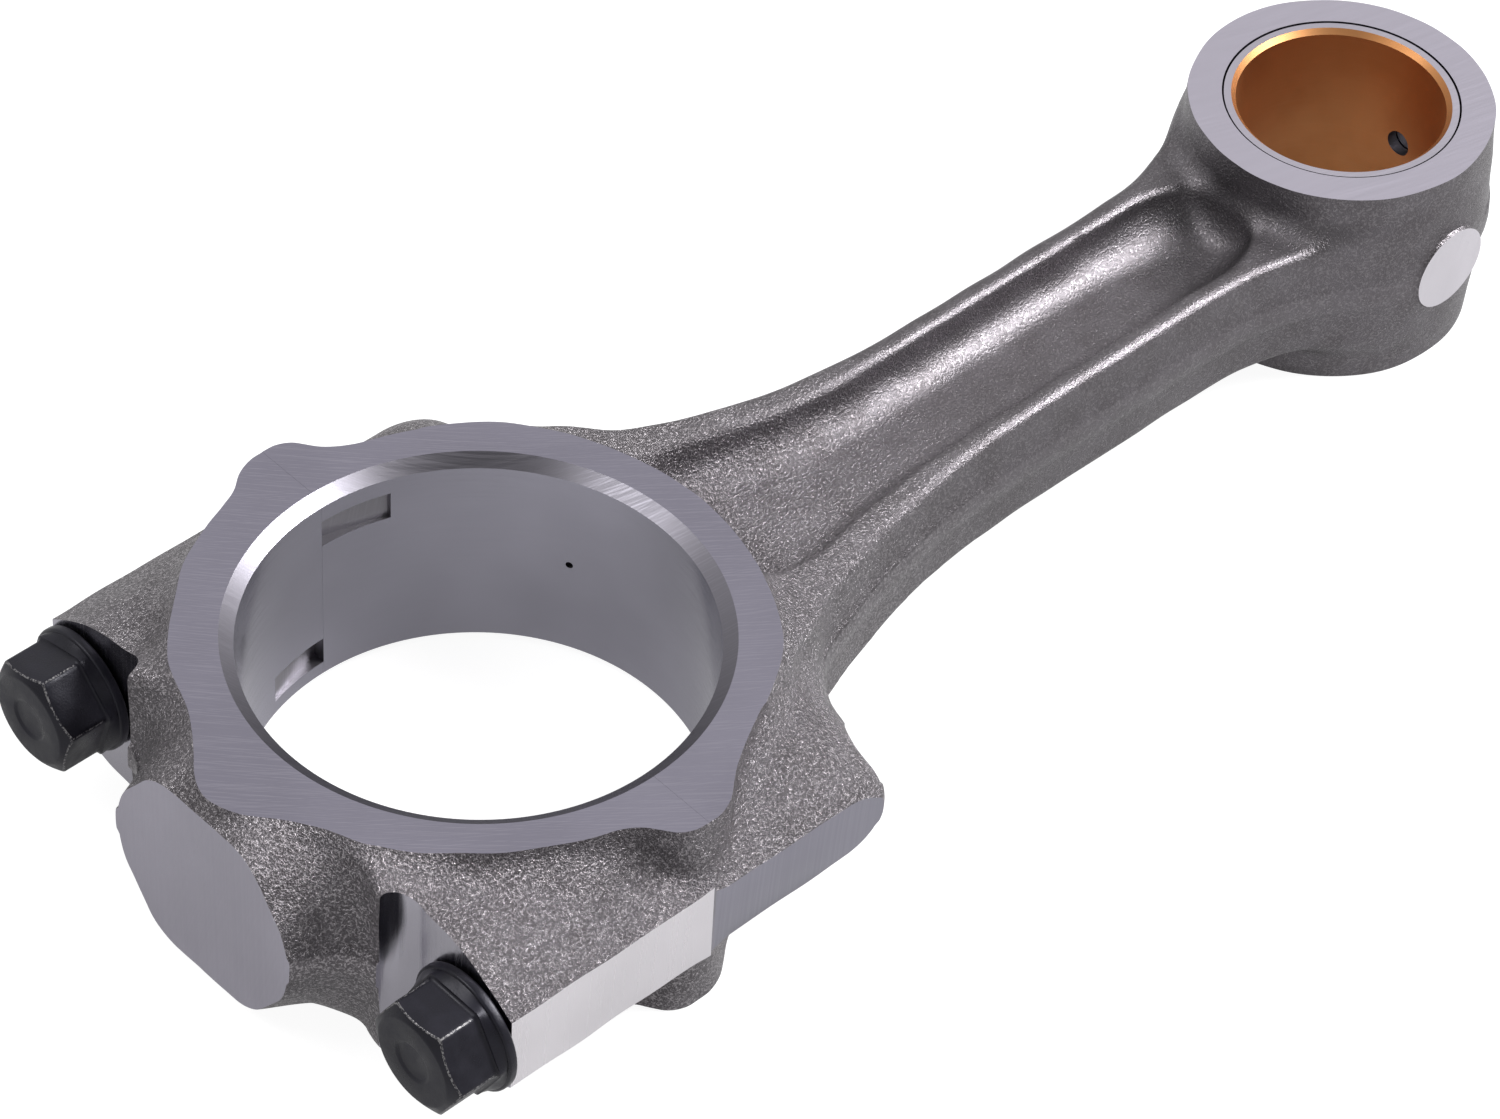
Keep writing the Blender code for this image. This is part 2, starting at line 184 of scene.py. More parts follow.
def settle(piece, cutters, sharp):
    # bake the cuts into the mesh, drop the cutters and the finishes that no face has, and mark
    # every edge that turns by more than the angle sharp
    view_layer = bpy.context.evaluated_depsgraph_get()
    mesh = bpy.data.meshes.new_from_object(piece.evaluated_get(view_layer))
    piece.modifiers.clear()
    old = piece.data
    piece.data = mesh
    mesh.name = piece.name
    bpy.data.meshes.remove(old)
    for cutter in cutters:
        bpy.data.objects.remove(cutter, do_unlink=True)
    finish = np.empty(len(mesh.polygons), np.int32)
    mesh.polygons.foreach_get("material_index", finish)
    used = np.unique(finish)
    kept = [mesh.materials[int(index)] for index in used]
    mesh.materials.clear()
    for material in kept:
        mesh.materials.append(material)
    mesh.polygons.foreach_set("material_index", np.searchsorted(used, finish).astype(np.int32))
    mesh.polygons.foreach_set("use_smooth", np.ones(len(mesh.polygons), bool))
    mesh.set_sharp_from_angle(angle=radians(sharp))
    triangles = len(mesh.loops) - 2 * len(mesh.polygons)
    print(piece.name, "has", triangles, "triangles and", [m.name for m in kept])
    return piece


def roundJoin(a, b, r):
    # two solids joined, with a fillet of radius r where their surfaces meet
    return np.maximum(r, np.minimum(a, b)) - np.hypot(np.maximum(r - a, 0), np.maximum(r - b, 0))


def roundCommon(a, b, r):
    # what two solids have in common, with its edge rounded to radius r
    return np.minimum(-r, np.maximum(a, b)) + np.hypot(np.maximum(r + a, 0), np.maximum(r + b, 0))


def smoothCurve(stations):
    # a cubic through (place, value) stations, with slopes from each one's neighbours; the
    # curve gives value and slope for a whole array of places
    at = np.array([s[0] for s in stations], float)
    value = np.array([s[1] for s in stations], float)
    slope = np.gradient(value, at)

    def curve(x):
        # the cubic between the two nearest stations
        x = np.clip(x, at[0], at[-1])
        k = np.clip(np.searchsorted(at, x, side="right") - 1, 0, len(at) - 2)
        wide = at[k + 1] - at[k]
        t = (x - at[k]) / wide
        a, b = value[k], value[k + 1]
        c, d = slope[k] * wide, slope[k + 1] * wide
        cubic = 2 * a - 2 * b + c + d
        square = 3 * b - 3 * a - 2 * c - d
        here = a + t * (c + t * (square + t * cubic))
        steep = (c + t * (2 * square + 3 * t * cubic)) / wide
        return here, steep

    return curve


def skinOf(name, field, low, high, step, finishes):
    # one point in each cell of a lattice that the surface passes through, joined to its
    # neighbours, and then moved along the field's slope until the field is zero
    axes = [np.arange(low[i], high[i] + step, step) for i in range(3)]
    x, y, z = np.meshgrid(*axes, indexing="ij", sparse=True)
    value = field(x, y, z)
    size = value.shape
    cells = tuple(n - 1 for n in size)
    corners = [(i, j, k) for i in (0, 1) for j in (0, 1) for k in (0, 1)]
    inside = value < 0

    def shifted(data, corner):
        # the lattice's values at one corner of every cell
        return data[tuple(slice(c, c + n) for c, n in zip(corner, cells))]

    total = sum(shifted(inside, c).astype(np.int8) for c in corners)
    crossed = (total > 0) & (total < 8)
    where = np.nonzero(crossed)
    number = np.full(cells, -1, np.int64)
    number[where] = np.arange(len(where[0]))
    sample = np.stack([shifted(value, c)[where] for c in corners]).astype(float)
    place = np.zeros((len(where[0]), 3))
    hits = np.zeros(len(where[0]))
    for a in range(8):
        for b in range(a + 1, 8):
            first, second = np.array(corners[a]), np.array(corners[b])
            if abs(second - first).sum() != 1:
                continue
            cut = (sample[a] < 0) != (sample[b] < 0)
            t = np.where(cut, sample[a] / np.where(cut, sample[a] - sample[b], 1), 0)
            place += cut[:, None] * (first + t[:, None] * (second - first))
            hits += cut
    place /= hits[:, None]
    points = np.stack([axes[i][where[i]] for i in range(3)], axis=1) + place * step
    quads = []
    for axis in range(3):
        one, two = [(1, 2), (2, 0), (0, 1)][axis]
        near = [slice(1, n - 1) for n in size]
        near[axis] = slice(0, size[axis] - 1)
        far = list(near)
        far[axis] = slice(1, size[axis])
        change = inside[tuple(near)] != inside[tuple(far)]
        leaves = inside[tuple(near)][change]
        spot = np.array(np.nonzero(change))
        spot[[one, two]] += 1
        ring = []
        for back in ((1, 1), (0, 1), (0, 0), (1, 0)):
            cell = spot.copy()
            cell[one] -= back[0]
            cell[two] -= back[1]
            ring.append(number[tuple(cell)])
        ring = np.stack(ring, axis=1)
        quads.append(np.where(leaves[:, None], ring, ring[:, ::-1]))
    quads = np.concatenate(quads)
    reach = 0.04              # the slope is measured this far to each side, mm
    for _ in range(3):
        px, py, pz = points.T
        here = field(px, py, pz)
        slope = np.stack([
            field(px + reach, py, pz) - field(px - reach, py, pz),
            field(px, py + reach, pz) - field(px, py - reach, pz),
            field(px, py, pz + reach) - field(px, py, pz - reach)], axis=1) / (2 * reach)
        length = np.maximum((slope ** 2).sum(axis=1), 0.2)
        move = slope * (here / length)[:, None]
        far = np.linalg.norm(move, axis=1, keepdims=True)
        points -= move * np.minimum(1, 0.5 * step / np.maximum(far, 1e-9))
    return newPiece(name, points, quads, finishes)


bigEndShape = {
    "halfWidth": 14.0,
    "rawHalf": 15.0,          # before the faces are ground
    "draft": 0.0875,
    "ring": 31.6,
    "jointLobe": 36.1,
    "jointLobeHalf": 2.9,
    "jointLobeLean": 0.25,    # how far it slants, alike on both sides of the rod
    "capLobe": 36.9,
    "capLobeHalf": 2.1,
    "lobeSlope": 0.92,
    "lobeCorner": 1.5,
    "rawSide": 38.9,
    "shoulder": 27.6,
    "shoulderEdge": 4.2,      # rounding between the shoulder and the side
    "bossEdge": 3.8,          # rounding of the bolt boss's top
    "beamFillet": 3.2,
    "bossFillet": 3.0,
    "lobeFillet": 1.9,
    "bossShift": 0.7,         # the two halves of the die are a little out of line
    "flashHalf": 1.8,
    "flashProud": 0.22,
    "ripple": 0.05,
}
rodBossTop = smoothCurve([(10, 12.2), (16, 11.7), (20, 11.2), (24, 10.7), (28.7, 10.1), (31.2, 9.3),
                          (34.2, 7.75), (37.6, 5.6), (41, 3.2)])
capBossTop = smoothCurve([(10, 13.0), (16, 12.9), (20.4, 12.5), (24, 10.9), (28.7, 10.1),
                          (31.2, 9.3), (34.2, 7.75), (37.6, 5.6), (41, 3.2)])
shankShape = {
    "half": smoothCurve([(16, 26), (20, 24.6), (24, 23.0), (26.4, 21.8), (30, 20.4), (35, 17.2),
                         (40, 15.4), (45, 13.9), (50, 12.7), (55, 11.7), (60, 10.95), (65, 10.45),
                         (70, 10.2), (75, 10.1), (90, 10.1), (105, 10.2), (110, 10.5), (115, 11.6),
                         (120, 13.3), (125, 15.3), (130, 16.8)]),
    "height": smoothCurve([(16, 13.4), (22, 13.0), (27, 12.3), (31, 11.0), (35, 9.9), (40, 9.1),
                           (45, 8.6), (50, 8.15), (55, 7.85), (60, 7.8), (100, 7.8), (112, 7.8),
                           (118, 8.1), (124, 8.8), (130, 9.5)]),
    "pocket": smoothCurve([(26, 11.4), (32, 11.4), (36, 11.5), (39, 11.3), (42, 10.7), (46, 9.7),
                           (50, 8.9), (55, 8.1), (61.6, 7.65), (68, 7.5), (85, 7.5), (108, 7.5)]),
    "pocketEnd": 108.0,
    "pocketEndReach": 9.8,
    "pocketSlope": 0.15,
    "web": 2.3,
    "foot": 3.6,              # fillet between web and flange
    "footAtEnd": 5.2,
    "edge": 1.1,              # outer edge of the flange
    "lip": 0.8,               # inner edge of the flange
}
smallEndShape = {"face": 18.2, "fillet": 2.6, "draft": 0.066, "spot": 5.4, "spotAt": 0.5,
                 "spotProud": 0.15}


def draftedDisc(x, y, tall, centreX, face, draft=bigEndShape["draft"]):
    # a disc of radius face that widens with depth by its draft; the last factor makes it a
    # true distance on the slanting wall
    wide = face + (bigEndShape["halfWidth"] - tall) * draft
    return (np.hypot(x - centreX, y) - wide) * 0.996


def jointLobe(x, y, tall):
    # the lobe on the joint: its sides slant one way on +y and the other way on -y
    s = bigEndShape
    side = np.abs(y)
    across = x + np.sign(y) * s["jointLobeLean"] * np.minimum(s["jointLobe"] - side, 8)
    return lobe(side, across, tall, s["jointLobe"], s["jointLobeHalf"])


def lobe(out, across, tall, reach, half):
    # a trapezium that points outwards, its top drafted and its corners rounded
    s = bigEndShape
    top = out - reach - (s["halfWidth"] - tall) * s["draft"]
    wide = half + np.minimum(reach - out, 8) * s["lobeSlope"]
    side = (np.abs(across) - wide) / np.hypot(1, s["lobeSlope"])
    return roundCommon(top, side, s["lobeCorner"])


draw = np.random.default_rng(11)
waves = draw.normal(size=(9, 3))
waves *= (2 * pi / np.linspace(4.0, 15.0, 9) / np.linalg.norm(waves, axis=1))[:, None]
phases = draw.uniform(0, 2 * pi, 9)


def ripple(x, y, z):
    # slow waves left by the hammer and the die: sines that run in nine directions
    return sum(np.sin(w[0] * x + w[1] * y + w[2] * z + p) for w, p in zip(waves, phases)) / 3


def asForged(solid, x, y, z, tall, amount=1.0):
    # the trimmed flash stands a little proud at mid-thickness, and nothing is quite flat
    s = bigEndShape
    edge = s["flashHalf"] + 0.12 * np.sin(0.9 * x + 0.7 * y) + 0.1 * np.sin(2.3 * x - 1.9 * y)
    band = np.clip((edge - tall) / 0.45 + 0.5, 0, 1)
    proud = s["flashProud"] * band * band * (3 - 2 * band)
    skin = solid - amount * (proud + s["ripple"] * ripple(x, y, z))
    return np.maximum(skin, tall - s["rawHalf"])


def rodField(x, y, z):
    # ring, beam, bolt bosses, lobes and small end joined with fillets, above the joint plane
    s, b = bigEndShape, shankShape
    side, tall = np.abs(y), np.abs(z)
    ring = draftedDisc(x, y, tall, 0.0, s["ring"])
    # bolt boss: sloping top, flat side and a domed shoulder
    top, steep = rodBossTop(side + np.where(y < 0, s["bossShift"], 0))
    top = (tall - top) / np.hypot(1, steep)
    end = x - s["shoulder"] + 0.3 * (side - 31) + 0.085 * np.minimum(tall, 9) ** 2
    end = end / np.sqrt(1.09 + (0.17 * np.minimum(tall, 9)) ** 2)
    boss = roundCommon(end, side - s["rawSide"], s["shoulderEdge"])
    boss = roundCommon(boss, top, s["bossEdge"])
    boss = np.maximum(boss, 12 - side)
    # beam: drafted sides and a pocket in each face
    half, flare = b["half"](x)
    height, rise = b["height"](x)
    outer = (side - half - (height - tall) * s["draft"]) / np.sqrt(1 + flare ** 2 + s["draft"] ** 2)
    beam = roundCommon(outer, (tall - height) / np.hypot(1, rise), b["edge"])
    inner, taper = b["pocket"](x)
    ahead = np.maximum(x - b["pocketEnd"], 0) / b["pocketEndReach"]
    wall = np.hypot(ahead * inner, side) - inner + (height - tall) * b["pocketSlope"]
    wall = wall / np.sqrt(1 + taper ** 2 + b["pocketSlope"] ** 2)
    foot = b["foot"] + (b["footAtEnd"] - b["foot"]) * np.clip((x - 98) / 12, 0, 1)
    pocket = roundCommon(wall, b["web"] - tall, foot)
    beam = roundCommon(beam, -pocket, b["lip"])
    beam = np.maximum(beam, np.maximum(18 - x, x - 131))
    small = draftedDisc(x, y, tall, centres, smallEndShape["face"], smallEndShape["draft"])
    solid = roundJoin(ring, beam, s["beamFillet"])
    solid = roundJoin(solid, boss, s["bossFillet"])
    solid = roundJoin(solid, jointLobe(x, y, tall), s["lobeFillet"])
    solid = roundJoin(solid, small, smallEndShape["fillet"])
    away = np.hypot(x - centres - smallEndShape["spotAt"], z) - smallEndShape["spot"]
    solid = asForged(solid, x, y, z, tall, np.clip((away - 2) / 3, 0, 1))
    # near the small end the skin stays just under the plane of its round pads
    below = side - cut["sidePad"] + smallEndShape["spotProud"]
    solid = np.maximum(solid, np.where(x > 110, below, -9.0))
    spot = np.maximum(away - 0.3 * (cut["sidePad"] - side), np.maximum(side - 21, 12 - side))
    solid = roundJoin(solid, spot * 0.95, 0.3)
    return np.maximum(solid, -2 - x)


capShape = {
    "pad": -38.2,
    "padSpread": 0.5,         # how fast the pad's sides open out behind it
    "scoopFloor": -31.3,
    "webEdge": 20.4,
    "padHalf": 12.2,
    "padSide": 13.9,
    "padSlant": 13.45,        # distance of the hexagon's slanting sides from the middle
    "bossEdge": 0.8,
    "padFillet": 4.2,
    "ringFillet": 3.2,
    "lobeFillet": 1.5,
    "capLobeFillet": 1.6,
    "rougher": 1.7,           # flash and ripple, against the rod's
    "fuller": 0.09,           # the +y side of the ring grows by this much per mm of y
}


def capField(x, y, z):
    # ring, bolt bosses, end pad and lobes joined with fillets, below the joint plane
    s, c = bigEndShape, capShape
    side, tall = np.abs(y), np.abs(z)
    lean = np.clip(y - 12, 0, 20) * np.clip(-x / 8, 0, 1)
    ring = draftedDisc(x, y, tall, 0.0, s["ring"] + c["fuller"] * lean)
    top, steep = capBossTop(side + np.where(y < 0, s["bossShift"], 0))
    top = (tall - top) / np.hypot(1, steep)
    floor = c["scoopFloor"] + (c["webEdge"] - side) * 0.3 * (tall / 12) ** 2 - x
    boss = roundCommon(floor * 0.95, top, c["bossEdge"])
    boss = np.maximum(boss, side - s["rawSide"])
    # end pad: a rounded hexagon that opens out towards the ring
    slant = 0.8 * side + 0.6 * tall - c["padSlant"]
    pad = roundCommon(roundCommon(tall - c["padHalf"], slant, 2.2), side - c["padSide"], 1.6)
    pad = (pad - c["padSpread"] * (x - c["pad"])) / np.hypot(1, c["padSpread"])
    pad = np.maximum(pad, c["pad"] - 1.5 - x)
    solid = roundJoin(boss, pad, c["padFillet"])
    solid = np.maximum(solid, np.maximum(x - 4, 8 - np.hypot(x, y)))
    solid = roundJoin(solid, ring, c["ringFillet"])
    solid = roundJoin(solid, jointLobe(x, y, tall), c["lobeFillet"])
    tip = lobe(-x, y, tall, s["capLobe"], s["capLobeHalf"])
    solid = roundJoin(solid, tip, c["capLobeFillet"])
    return np.maximum(asForged(solid, x, y, z, tall, c["rougher"]), x - 2)


def newGroup(name, inputs, outputs):
    # an effect with named inputs and outputs, to be placed in several materials
    group = bpy.data.node_groups.new(name, "ShaderNodeTree")
    for label, kind, default in inputs:
        socket = group.interface.new_socket(label, in_out="INPUT", socket_type=kind)
        if default is not None:
            socket.default_value = default
    for label, kind in outputs:
        group.interface.new_socket(label, in_out="OUTPUT", socket_type=kind)
    return group, group.nodes.new("NodeGroupInput"), group.nodes.new("NodeGroupOutput")


def add(tree, kind, links=None, **settings):
    # a node with its settings; links maps an input to a value or to another node's output
    node = tree.nodes.new("ShaderNode" + kind)
    for key, value in settings.items():
        setattr(node, key, value)
    for key, value in (links or {}).items():
        socket = node.inputs[key]
        if isinstance(value, bpy.types.NodeSocket):
            tree.links.new(value, socket)
        else:
            socket.default_value = value
    return node


def spread(tree, value, low, high, toLow, toHigh):
    # value moved from one range to another, smoothly at both ends
    node = add(tree, "MapRange", {"Value": value, "From Min": low, "From Max": high,
                                  "To Min": toLow, "To Max": toHigh},
               interpolation_type="SMOOTHSTEP")
    return node.outputs["Result"]


def blend(tree, share, first, second):
    # one colour over another by a share
    node = add(tree, "Mix", {"Factor": share, 6: first, 7: second}, data_type="RGBA")
    return node.outputs[2]


def maths(tree, operation, first, second=0.0):
    # one step of arithmetic on two values
    node = add(tree, "Math", {0: first, 1: second}, operation=operation)
    return node.outputs[0]


def makeGrain():
    # shot-blasted skin: round dimples over finer noise; Height for the bump, Speck for bright crests
    tree, source, result = newGroup(
        "shotGrain",
        [("Vector", "NodeSocketVector", None), ("Dimples", "NodeSocketFloat", 4200.0),
         ("Fine", "NodeSocketFloat", 2700.0)],
        [("Height", "NodeSocketFloat"), ("Speck", "NodeSocketFloat"), ("Cloud", "NodeSocketFloat")])
    at = source.outputs["Vector"]
    bend = add(tree, "TexNoise", {"Vector": at, "Scale": 1300.0, "Detail": 1.0})
    moved = add(tree, "VectorMath", {0: bend.outputs["Color"], 1: (0.0006, 0.0006, 0.0006)},
                operation="MULTIPLY")
    bent = add(tree, "VectorMath", {0: at, 1: moved.outputs[0]}, operation="ADD")
    dimples = add(tree, "TexVoronoi", {"Vector": bent.outputs[0],
                                       "Scale": source.outputs["Dimples"]}, feature="F1")
    fine = add(tree, "TexNoise", {"Vector": at, "Scale": source.outputs["Fine"], "Detail": 4.0,
                                  "Roughness": 0.68})
    slow = add(tree, "TexNoise", {"Vector": at, "Scale": 240.0, "Detail": 3.0})
    low = maths(tree, "MULTIPLY", fine.outputs["Fac"], 1.5)
    dimple = maths(tree, "MULTIPLY", dimples.outputs["Distance"], 0.55)
    height = maths(tree, "ADD", dimple, low)
    swell = maths(tree, "MULTIPLY", slow.outputs["Fac"], 0.8)
    tree.links.new(maths(tree, "ADD", height, swell), result.inputs["Height"])
    tree.links.new(spread(tree, height, 0.98, 1.25, 0.0, 1.0), result.inputs["Speck"])
    tree.links.new(slow.outputs["Fac"], result.inputs["Cloud"])
    return tree


def makeLines():
    # grinding marks: fine scratches on wide arcs about a far point, and a second set across them
    tree, source, result = newGroup(
        "grindingLines",
        [("Vector", "NodeSocketVector", None), ("Centre", "NodeSocketVector", (0.12, 0.13, 0.0)),
         ("Second Centre", "NodeSocketVector", (0.17, 0.07, 0.0)),
         ("Density", "NodeSocketFloat", 5200.0)],
        [("Height", "NodeSocketFloat"), ("Scratch", "NodeSocketFloat")])
    sets = []
    for label in ("Centre", "Second Centre"):
        away = add(tree, "VectorMath", {0: source.outputs["Vector"], 1: source.outputs[label]},
                   operation="DISTANCE")
        offset = add(tree, "VectorMath", {0: source.outputs["Vector"], 1: source.outputs[label]},
                     operation="SUBTRACT")
        split = add(tree, "SeparateXYZ", {0: offset.outputs[0]})
        around = maths(tree, "ARCTAN2", split.outputs[1], split.outputs[0])
        along = maths(tree, "MULTIPLY", around, 14.0)
        across = maths(tree, "MULTIPLY", away.outputs["Value"], source.outputs["Density"])
        spot = add(tree, "CombineXYZ", {0: across, 1: along, 2: split.outputs[2]})
        marks = add(tree, "TexNoise", {"Vector": spot.outputs[0], "Scale": 1.0, "Detail": 2.0,
                                       "Roughness": 0.7}, noise_dimensions="2D")
        sets.append(marks.outputs["Fac"])
    weak = maths(tree, "MULTIPLY", sets[1], 0.6)
    both = maths(tree, "ADD", sets[0], weak)
    tree.links.new(both, result.inputs["Height"])
    tree.links.new(spread(tree, both, 0.78, 1.02, 0.0, 1.0), result.inputs["Scratch"])
    return tree


grainGroup = makeGrain()
linesGroup = makeLines()


def newFinish(name, values):
    # a Principled material with its constants set on its own sockets
    made = bpy.data.materials.new(name)
    made.use_nodes = True
    tree = made.node_tree
    shader = tree.nodes["Principled BSDF"]
    shader.inputs["Base Color"].default_value = (*values["colour"], 1.0)
    shader.inputs["Roughness"].default_value = values["roughness"]
    shader.inputs["Metallic"].default_value = values["metallic"]
    shader.inputs["Specular IOR Level"].default_value = values.get("specular", 0.5)
    return made, tree, shader


def objectPlace(tree):
    # where a point lies on the object, in metres
    return add(tree, "TexCoord").outputs["Object"]


def towardsSmallEnd(tree, at, atBigEnd, atSmallEnd):
    # a value that changes smoothly along the shank
    split = add(tree, "SeparateXYZ", {0: at})
    start, stop = (bigEnd[0] + np.array([30.0, 78.0])) * mm
    return spread(tree, split.outputs[0], float(start), float(stop), atBigEnd, atSmallEnd)


forged = {
    "colour": (0.150, 0.139, 0.150),
    "crest": (0.54, 0.505, 0.53),
    "dark": (0.115, 0.105, 0.112),
    "roughness": 0.375,
    "crestShare": 0.60,       # how much the crests show at the big end
    "crestFar": 0.155,        # and at the small end
    "crestRoughness": 0.27,
    "metallic": 0.92,
    "bump": 0.9,
    "bumpReach": 0.00012,
    "dimples": 4200.0,
    "fine": 2700.0,
    "trimmed": 0.4,           # grain height on the sheared flash
    "trimmedTone": 0.03,
    "livelier": 1.9,          # grain height at the big end
    "calmer": 0.55,           # and at the small end
}


def forgedFinish(name, values):
    # dark scaled steel with slow clouds; its crests are brighter and smoother than the rest
    made, tree, shader = newFinish(name, values)
    at = objectPlace(tree)
    grain = add(tree, "Group", {"Vector": at, "Dimples": values["dimples"],
                                "Fine": values["fine"]}, node_tree=grainGroup)
    cloudy = spread(tree, grain.outputs["Cloud"], 0.35, 0.7, 0.0, 0.75)
    base = blend(tree, cloudy, (*values["colour"], 1), (*values["dark"], 1))
    crest = maths(tree, "MULTIPLY", grain.outputs["Speck"],
                  towardsSmallEnd(tree, at, values["crestShare"], values["crestFar"]))
    base = blend(tree, crest, base, (*values["crest"], 1))
    rough = spread(tree, grain.outputs["Speck"], 0.0, 1.0, values["roughness"],
                   values["crestRoughness"])
    tree.links.new(rough, shader.inputs["Roughness"])
    # the sheared flash round the middle is smoother and a little lighter
    level = add(tree, "SeparateXYZ", {0: at}).outputs[2]
    off = maths(tree, "ABSOLUTE", maths(tree, "SUBTRACT", level, float(bigEnd[2] * mm)))
    trim = spread(tree, off, 0.0014, 0.0019, values["trimmed"], 1.0)
    sheared = spread(tree, off, 0.0015, 0.0018, values["trimmedTone"], 0.0)
    base = blend(tree, sheared, base, (*values["crest"], 1))
    tree.links.new(base, shader.inputs["Base Color"])
    height = maths(tree, "MULTIPLY", grain.outputs["Height"],
                   towardsSmallEnd(tree, at, values["livelier"], values["calmer"]))
    height = maths(tree, "MULTIPLY", height, trim)
    bump = add(tree, "Bump", {"Height": height, "Strength": values["bump"],
                              "Distance": values["bumpReach"]})
    tree.links.new(bump.outputs[0], shader.inputs["Normal"])
    return made


def groundFinish(name, values):
    # a ground or milled face: scratches in the height, the roughness and a little in the colour
    made, tree, shader = newFinish(name, values)
    at = objectPlace(tree)
    lines = add(tree, "Group", {"Vector": at, "Centre": values["centre"],
                                "Second Centre": values["second"],
                                "Density": values["density"]}, node_tree=linesGroup)
    slow = add(tree, "TexNoise", {"Vector": at, "Scale": 60.0, "Detail": 2.0})
    tone = blend(tree, spread(tree, slow.outputs["Fac"], 0.3, 0.7, 0.0, 1.0),
                 (*values["colour"], 1), (*[c * 0.90 for c in values["colour"]], 1))
    share = maths(tree, "MULTIPLY", lines.outputs["Scratch"], values["mark"])
    tone = blend(tree, share, tone, (*values["bright"], 1))
    if "farColour" in values:
        far = towardsSmallEnd(tree, at, 0.0, 1.0)
        tone = blend(tree, far, tone, (*values["farColour"], 1))
    tree.links.new(tone, shader.inputs["Base Color"])
    rough = spread(tree, lines.outputs["Height"], 0.5, 1.1, values["roughness"] + 0.06,
                   values["roughness"] - 0.06)
    tree.links.new(rough, shader.inputs["Roughness"])
    bump = add(tree, "Bump", {"Height": lines.outputs["Height"], "Strength": values["bump"],
                              "Distance": 0.00002})
    tree.links.new(bump.outputs[0], shader.inputs["Normal"])
    return made


face = {"colour": (0.275, 0.262, 0.32), "bright": (0.42, 0.40, 0.47), "roughness": 0.38,
        "metallic": 1.0, "centre": (0.146, 0.219, 0.0), "second": (0.107, 0.25, 0.0),
        "density": 5200.0, "mark": 0.3, "bump": 0.12}


def faceLike(name, **changes):
    # the ground face's finish with some of its values changed
    return groundFinish(name, {**face, **changes})


forgedSteel = forgedFinish("forgedSteel", forged)
finishes = {
    "face": faceLike("groundFace", farColour=(0.485, 0.457, 0.53)),
    "bore": faceLike("boreHoned", colour=(0.40, 0.39, 0.45), roughness=0.2, mark=0.05, bump=0.03,
                     centre=(0.0, 0.0, 9.0), second=(0.0, 0.1, 9.0), density=3000.0),
    "chamfer": faceLike("chamferTurned", colour=(0.20, 0.192, 0.218), roughness=0.38, mark=0.1,
                        bump=0.06),
    "capFlat": faceLike("capFlatGround", colour=(0.87, 0.84, 0.875), bright=(0.90, 0.88, 0.90),
                        roughness=0.32, mark=0.1, bump=0.06),
    "rodFlat": faceLike("rodFlatGround", colour=(0.335, 0.327, 0.38), roughness=0.42, mark=0.08,
                        bump=0.05),
    "endPad": faceLike("endPadGround", colour=(0.49, 0.47, 0.54), roughness=0.42, mark=0.06,
                       centre=(0.0, 3.0, 0.0), second=(0.0, 3.0, 1.0), density=2600.0, bump=0.04),
    "seat": faceLike("seatMilled", colour=(0.50, 0.485, 0.54), roughness=0.22, mark=0.1,
                     centre=(0.0, 9.0, 0.0), second=(0.0, 9.0, 0.5), density=2200.0, bump=0.08),
    "split": faceLike("splitGround", colour=(0.35, 0.34, 0.37), roughness=0.34, mark=0.4),
    "hole": faceLike("drilledHole", colour=(0.32, 0.31, 0.335), roughness=0.4, mark=0.1),
    "sidePad": faceLike("sidePadMilled", colour=(0.82, 0.79, 0.84), roughness=0.36, mark=0.05,
                        bump=0.04),
}
pick = {key: index for index, key in enumerate(finishes)}
machined = list(finishes.values())
print("finishes made")

cut = {
    "halfWidth": 14.0,
    "sideFlat": 37.6,
    "crankBore": 26.0,
    "chamfer": 27.6,
    "chamferDepth": 1.1,
    "smallBore": 14.2,
    "boltY": 31.6,
    "boltHole": 4.8,
    "seat": -28.2,
    "seatFillet": 3.2,
    "split": 0.008,           # half of the hairline between rod and cap
    "brokenEdge": 0.15,       # on the side flats, at the joint
    "sidePad": 19.2,
    "oilHole": 1.65,
    "spitHole": 0.45,
    "spitAngle": 26.0,
    "tangDepth": 1.5,
    "tangWidth": 3.7,
}
past = 20.0                   # how far cutters run to each side of the rod, mm


def crankCutter(name):
    # the crankpin bore with a chamfer at each face
    c = cut
    inner = c["halfWidth"] - c["chamferDepth"]
    along = [-past, -c["halfWidth"], -inner, inner, c["halfWidth"], past]
    out = [c["chamfer"], c["chamfer"], c["crankBore"], c["crankBore"], c["chamfer"], c["chamfer"]]
    rows = [pick[key] for key in ("chamfer", "chamfer", "bore", "chamfer", "chamfer", "face",
                                  "face")]
    return closedTurn(name, along, out, 192, "z", (0, 0, 0), machined, rows)


def boltHoleCutter(name, side, low, high):
    # a plain hole with a small countersink at the joint face
    wide = cut["boltHole"]
    along = [low, -0.7, 0.0, 0.7, high]
    out = [wide, wide, wide + 0.7, wide, wide]
    rows = [pick["hole"]] * 6
    return closedTurn(name, along, out, 64, "x", (0, side * cut["boltY"], 0), machined, rows)


def tangCutter(name, towards, z, length):
    # slot for a bearing shell's tang: deepest at the joint, running out along the bore
    low = cut["crankBore"]
    edge = [(-towards * 1.0, low - 3), (towards * length, low - 3.6), (towards * length, low - 0.9),
            (towards * 3.0, low + 0.7), (0.0, low + cut["tangDepth"]),
            (-towards * 1.0, low + cut["tangDepth"])]
    if towards < 0:
        edge = edge[::-1]
    half = cut["tangWidth"] / 2
    return outlinePrism(name, edge, z - half, z + half, machined, [pick["hole"]] * len(edge),
                        pick["hole"])


